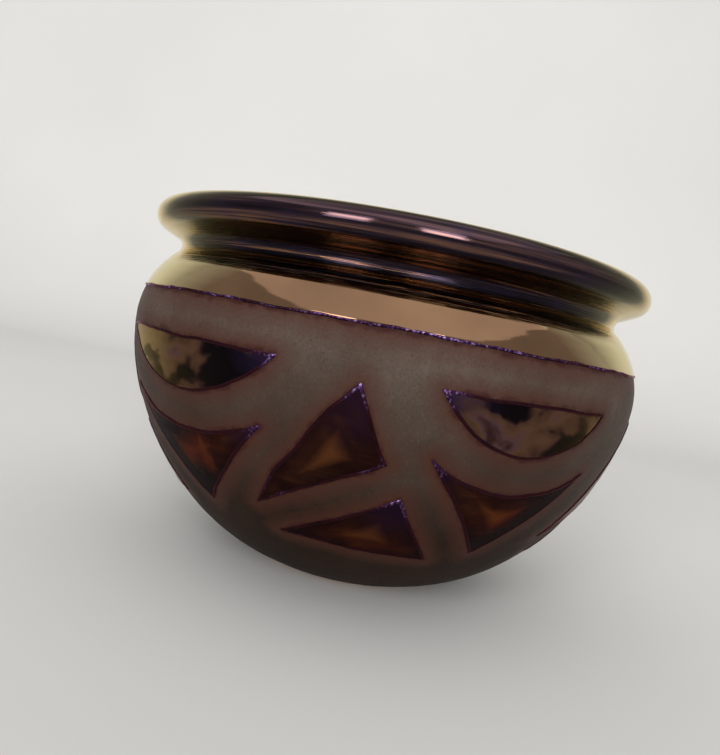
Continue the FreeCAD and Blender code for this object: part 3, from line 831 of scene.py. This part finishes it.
GROUND_STEP, GROUND_ROUNDING = 0.75 * MM, 0.2 * MM
COLLAR_STEP, COLLAR_ROUNDING = 0.4 * MM, 0.25 * MM
LINER_STEP, LINER_ROUNDING = 1.1 * MM, 0.2 * MM

# The halo of the ground: how far from the gloss it is still measured, and along the collar, where
# it begins past the roll's middle and how much wider it is

HALO_MEASURED = 9 * MM
COLLAR_HALO_START, COLLAR_HALO_SLOPE = 0.5 * MM, 0.8


def matte_coat(material, outlines):
    """The ground from the bare foot to the shoulder's roll, with its distance from the gloss."""
    start = OUTSIDE.length_at_height(BARE_FOOT)
    end = OUTSIDE.length_at_height(SHOULDER_EDGE)
    loop = coat_loop(start, end, GROUND_LEVEL, GROUND_STEP, GROUND_ROUNDING)
    coat = turned_piece("matte_coat", OUTSIDE, loop[:, 0], loop[:, 1], FINE)
    places = np.array([vertex.co for vertex in coat.data.vertices])
    distance = np.minimum(nearest(places, outlines), HALO_MEASURED)
    below_roll = np.repeat(np.abs(end - loop[:, 0]), FINE)
    to_collar = np.maximum(below_roll - COLLAR_HALO_START, 0) * COLLAR_HALO_SLOPE
    mark(coat, "edge_distance", np.minimum(distance, to_collar) / MM)
    finish_piece(coat, material)
    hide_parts("matte_ground")


def nearest(places, outlines):
    """Distance from each place to the closest point of the outlines."""
    tree = KDTree(sum(len(outline) for outline in outlines))
    for number, point in enumerate(np.concatenate(outlines)):
        tree.insert(point, number)
    tree.balance()
    return np.array([tree.find(place)[2] for place in places])


def lustre_coat(material):
    """The collar from the shoulder's roll over neck and lip to the end of the flare inside."""
    start = OUTSIDE.length_at_height(SHOULDER_EDGE)
    loop = coat_loop(start, OUTSIDE.length[-1], COLLAR_LEVEL, COLLAR_STEP, COLLAR_ROUNDING)
    coat = turned_piece("lustre_coat", OUTSIDE, loop[:, 0], loop[:, 1], FINE)
    mark(coat, "section_length", np.repeat(loop[:, 0], FINE))
    finish_piece(coat, material)
    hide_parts("lustre_collar")


def liner_coat(material):
    """The glaze inside, from the end of the flare to the middle of the floor."""
    end = INSIDE.length[-1] - AXIS_GAP
    loop = coat_loop(0, end, LINER_LEVEL, LINER_STEP, LINER_ROUNDING)
    coat = turned_piece("liner_coat", INSIDE, loop[:, 0], loop[:, 1], COARSE)
    finish_piece(coat, material)
    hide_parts("liner_glaze")


# Section of the shoulder's roll as shares of its half width and of its height, both in
# millimetres, and the waves round the jar that bend it and swell it: size, count and phase

SHOULDER_ROLL = [(-1.0, -0.3), (-0.92, -0.04), (-0.72, 0.22), (-0.45, 0.44), (-0.12, 0.56),
                 (0.2, 0.56), (0.5, 0.45), (0.75, 0.28), (0.95, 0.1), (1.0, -0.3)]
ROLL_HALF_WIDTH, ROLL_HEIGHT = 0.46, 0.75
ROLL_BENDS = [(0.132, 9, 1.1), (0.096, 23, 0), (0.054, 61, 0.6)]
ROLL_SWELLS = [(0.1, 31, 2.2), (0.06, 83, 0)]
ROLL_MEAN = 0.84

# Where the shoulder's roll is violet and carries painted glints, an arc on the viewer's side:
# middle and reach of the arc, and the distance that its far ends are marked with

GLINT_MIDDLE, GLINT_REACH = math.radians(10), math.radians(50)
GLINT_FAR = 9


def wave_sum(azimuth, rows):
    return sum(size * np.sin(count * azimuth + phase) for size, count, phase in rows)


def shoulder_roll(material):
    """The roll of glaze where the collar ends, wavering and beaded like the hand that drew it."""
    middle = OUTSIDE.length_at_height(SHOULDER_EDGE)
    azimuth = np.linspace(0, 2 * math.pi, 2 * FINE, endpoint=False)
    bend = wave_sum(azimuth, ROLL_BENDS)
    swell = ROLL_MEAN + wave_sum(azimuth, ROLL_SWELLS)
    rows = []
    for along, level in SHOULDER_ROLL:
        length = middle + (along * swell * ROLL_HALF_WIDTH + bend) * MM
        rows.append(on_line(OUTSIDE, azimuth, length, level * swell * ROLL_HEIGHT * MM))
    roll = add_mesh("shoulder_roll", np.concatenate(rows), ring_faces(len(rows), len(azimuth), True))
    # Painted glints gather on the arc round GLINT_MIDDLE, on the viewer's side.
    from_glint = np.abs((azimuth - GLINT_MIDDLE + math.pi) % (2 * math.pi) - math.pi)
    distance = np.minimum(from_glint / GLINT_REACH, 1) * GLINT_FAR
    mark(roll, "corner_distance", np.tile(distance, len(rows)))
    finish_piece(roll, material)
    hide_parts("shoulder_bead")


# How far below its top side the middle of a half moon's face lies, as a share of its depth, and
# that of a swag's below its corners' mean, as a share of its sag

HALF_MOON_MIDDLE = 0.42
SWAG_MIDDLE = 0.7


def all_panels(moon, glass, edge):
    """The 20 panels, and the lines where the halos round them begin."""
    outlines = []
    for number, (azimuth, half_width) in enumerate(HALF_MOONS, 1):
        corners = [corner(half_width, HALF_MOON_TOP_SHARE), corner(-half_width, HALF_MOON_TOP_SHARE)]
        centre = corner(0, HALF_MOON_TOP_SHARE) - [0, HALF_MOON_DEPTH * HALF_MOON_MIDDLE]
        violet = 0 if math.sin(math.radians(azimuth)) < 0 else 1
        outlines.append(panel("half_moon", number, azimuth, corners, [0, HALF_MOON_DEPTH], centre,
                              violet, moon, edge))
    for number, (azimuth, half_width, tip) in enumerate(SWAGS, 1):
        corners = [corner(-half_width, SWAG_CORNER_SHARE), corner(half_width, SWAG_CORNER_SHARE),
                   corner(tip, SWAG_TIP_SHARE)]
        centre = np.mean(corners, 0) - [0, SWAG_SAG * SWAG_MIDDLE]
        violet = 1 if math.sin(math.radians(azimuth)) < 0 else 0
        outlines.append(panel("swag", number, azimuth, corners, [SWAG_SAG, 0, 0], centre,
                              violet, glass, edge))
    for kind, azimuths, places, bows, violet in (
            ("upper", UPPER_TRIANGLES, UPPER_CORNERS, [UPPER_BACK_BOW, 0, 0], 0),
            ("lower", LOWER_TRIANGLES, LOWER_CORNERS, [0, 0, 0], 1)):
        corners = [corner(*place) for place in places]
        for number, azimuth in enumerate(azimuths, 1):
            outlines.append(panel(kind, number, azimuth, corners, bows, np.mean(corners, 0),
                                  violet, glass, edge))
    return outlines


# Range of a noise over which each kind of roll turns violet

PANEL_VIOLET = 0.66, 0.8
SHOULDER_VIOLET = 0.43, 0.6

panel_roll = roll_glaze("panel_roll", *PANEL_VIOLET)
outlines = all_panels(half_moon_glaze(), panel_glaze(), panel_roll)
clay_wall(bare_clay())
matte_coat(matte_glaze(), outlines)
lustre_coat(lustre())
liner_coat(liner_finish())
shoulder_roll(roll_glaze("shoulder_roll", *SHOULDER_VIOLET))


# Stage: a pale floor that rises into a pale wall behind, a wide soft light overhead, two tall soft
# boxes in front and a dim world

WALL_BEHIND, SWEEP_BEND, SWEEP_STEPS = 0.75, 0.25, 16
SWEEP_REACH, SWEEP_NEAR, SWEEP_HEIGHT = 1.7, 1.15, 2.5
CEILING = ((0, -0.8, 1.4), (0, -0.8, 0), 2.6, 2.2, 15)
WINDOW_AIM, WINDOW_WIDTH, WINDOW_HEIGHT, WINDOW_POWER = (0, 0, 0.06), 0.98, 1.85, 41
WINDOWS = {"window_left": (-1.3, -2.8, 0.95), "window_right": (0.8, -2.98, 0.95)}
ROOM_STRENGTH = 0.11
ROOM_TONE = (200, 198, 194)
BACKDROP_TONE = (199, 197, 193)


def sweep():
    """Floor and wall in one sheet."""
    foot, turn = WALL_BEHIND - SWEEP_BEND, np.linspace(0, math.pi / 2, SWEEP_STEPS)
    line = [(-SWEEP_NEAR, 0)]
    line += [(foot + SWEEP_BEND * math.sin(a), SWEEP_BEND - SWEEP_BEND * math.cos(a)) for a in turn]
    line.append((WALL_BEHIND, SWEEP_HEIGHT))
    points = [(x, y, z) for y, z in line for x in (-SWEEP_REACH, SWEEP_REACH)]
    faces = [(2 * i, 2 * i + 1, 2 * i + 3, 2 * i + 2) for i in range(len(line) - 1)]
    sheet = add_mesh("sweep", np.array(points, float), faces)
    paper = Finish("paper", Roughness=0.75, Specular_IOR_Level=0.15)
    tone = paper.ramp(paper.noise(3, 2), (0.3, 232, 231, 228), (0.7, 237, 236, 233))
    sheet.data.materials.append(paper.wear(Base_Color=tone))


def soft_box(name, place, aim, width, height, power):
    data = bpy.data.lights.new(name, "AREA")
    data.shape = "RECTANGLE"
    data.size, data.size_y, data.energy = width, height, power
    lamp = bpy.data.objects.new(name, data)
    lamp.location = place
    facing = Vector(aim) - lamp.location
    lamp.rotation_euler = facing.to_track_quat("-Z", "Y").to_euler()
    bpy.context.scene.collection.objects.link(lamp)


def world():
    """A dim room, and a pale backdrop past the sweep for the camera and for what gloss mirrors."""
    scene_world = bpy.data.worlds.new("room")
    scene_world.use_nodes = True
    tree = scene_world.node_tree
    room = tree.nodes["Background"]
    room.inputs["Color"].default_value = colour(*ROOM_TONE)
    room.inputs["Strength"].default_value = ROOM_STRENGTH
    backdrop = tree.nodes.new("ShaderNodeBackground")
    backdrop.inputs["Color"].default_value = colour(*BACKDROP_TONE)
    seen = tree.nodes.new("ShaderNodeLightPath")
    shown = seen.outputs["Is Camera Ray"]
    for ray in ("Is Glossy Ray", "Is Transmission Ray"):
        either = tree.nodes.new("ShaderNodeMath")
        either.operation = "MAXIMUM"
        tree.links.new(shown, either.inputs[0])
        tree.links.new(seen.outputs[ray], either.inputs[1])
        shown = either.outputs[0]
    both = tree.nodes.new("ShaderNodeMixShader")
    tree.links.new(shown, both.inputs[0])
    tree.links.new(room.outputs[0], both.inputs[1])
    tree.links.new(backdrop.outputs[0], both.inputs[2])
    tree.links.new(both.outputs[0], tree.nodes["World Output"].inputs["Surface"])
    bpy.context.scene.world = scene_world


sweep()
soft_box("ceiling", *CEILING)
for name, place in WINDOWS.items():
    soft_box(name, place, WINDOW_AIM, WINDOW_WIDTH, WINDOW_HEIGHT, WINDOW_POWER)
world()

# Camera at the photograph's place and angle

CAMERA_PLACE = Vector((0, -0.210, 0.0705))
YAW, PITCH, ROLL = math.radians(-1.58), math.radians(-3.85), math.radians(10.9)
SENSOR, FOCAL_PIXELS, LONG_SIDE = 36.0, 654.0, 755.0
CLIP_START = 0.01


def photo_camera():
    ahead = Vector((math.sin(YAW) * math.cos(PITCH), math.cos(YAW) * math.cos(PITCH), math.sin(PITCH)))
    right = Vector((math.cos(YAW), -math.sin(YAW), 0))
    up = right.cross(ahead)
    across = right * math.cos(ROLL) + up * math.sin(ROLL)
    above = up * math.cos(ROLL) - right * math.sin(ROLL)
    data = bpy.data.cameras.new("camera")
    data.sensor_width = SENSOR
    data.lens = FOCAL_PIXELS * SENSOR / LONG_SIDE
    data.clip_start = CLIP_START
    camera = bpy.data.objects.new("camera", data)
    turn = Matrix((across, above, -ahead)).transposed().to_4x4()
    camera.matrix_world = Matrix.Translation(CAMERA_PLACE) @ turn
    bpy.context.scene.collection.objects.link(camera)
    bpy.context.scene.camera = camera


photo_camera()
bpy.context.scene.view_settings.view_transform = "Standard"
